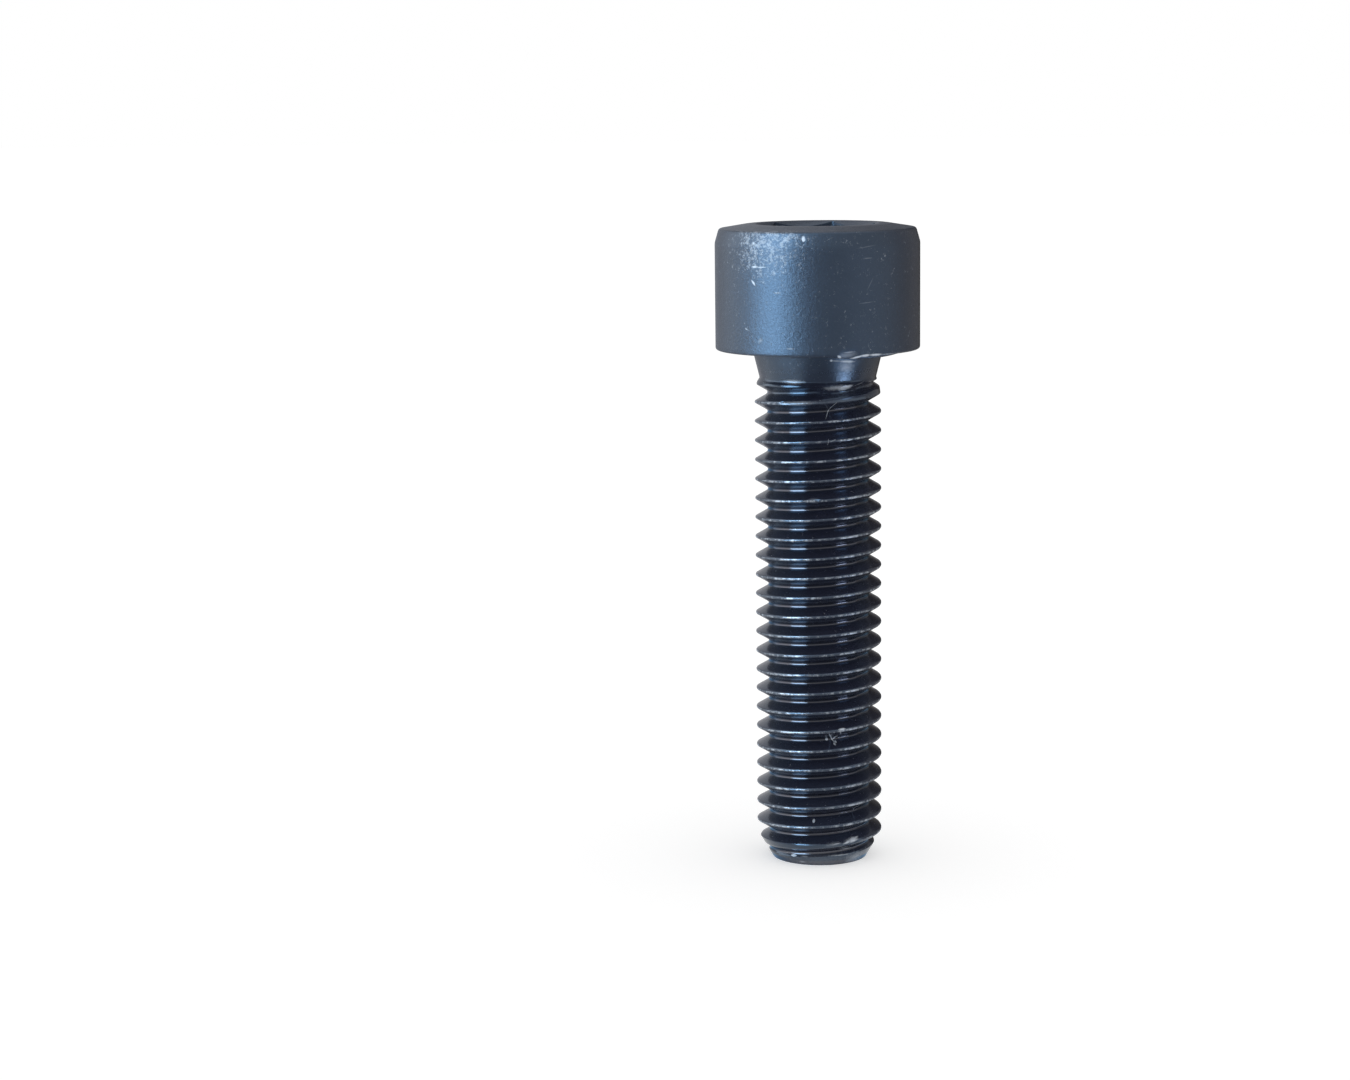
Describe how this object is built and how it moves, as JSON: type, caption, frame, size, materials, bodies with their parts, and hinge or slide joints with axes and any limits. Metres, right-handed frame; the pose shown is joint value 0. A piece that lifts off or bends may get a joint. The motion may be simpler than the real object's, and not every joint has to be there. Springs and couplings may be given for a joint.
{
  "type": "cylinder head bolt",
  "caption": "Socket head cap screw: a plain cylindrical head with a hexagon socket on a short shank, threaded almost up to the head, in black oxide steel.",
  "frame": {"origin": "middle of the flat end of the thread, on which the bolt stands as in the picture", "axes": "+Z along the bolt's axis from the tip to the head; +X and +Y square to it, with a corner of the hexagon socket 15 degrees from +X towards +Y"},
  "size_m": [0.0158, 0.0158, 0.0496],
  "materials": {
    "black_oxide_steel": "satin black oxide over forged and rolled steel, slightly worn on the head's upper edge and on the crests of the thread"
  },
  "bodies": {
    "root": {"cylinder_head_bolt": "black_oxide_steel"}
  },
  "joints": []
}
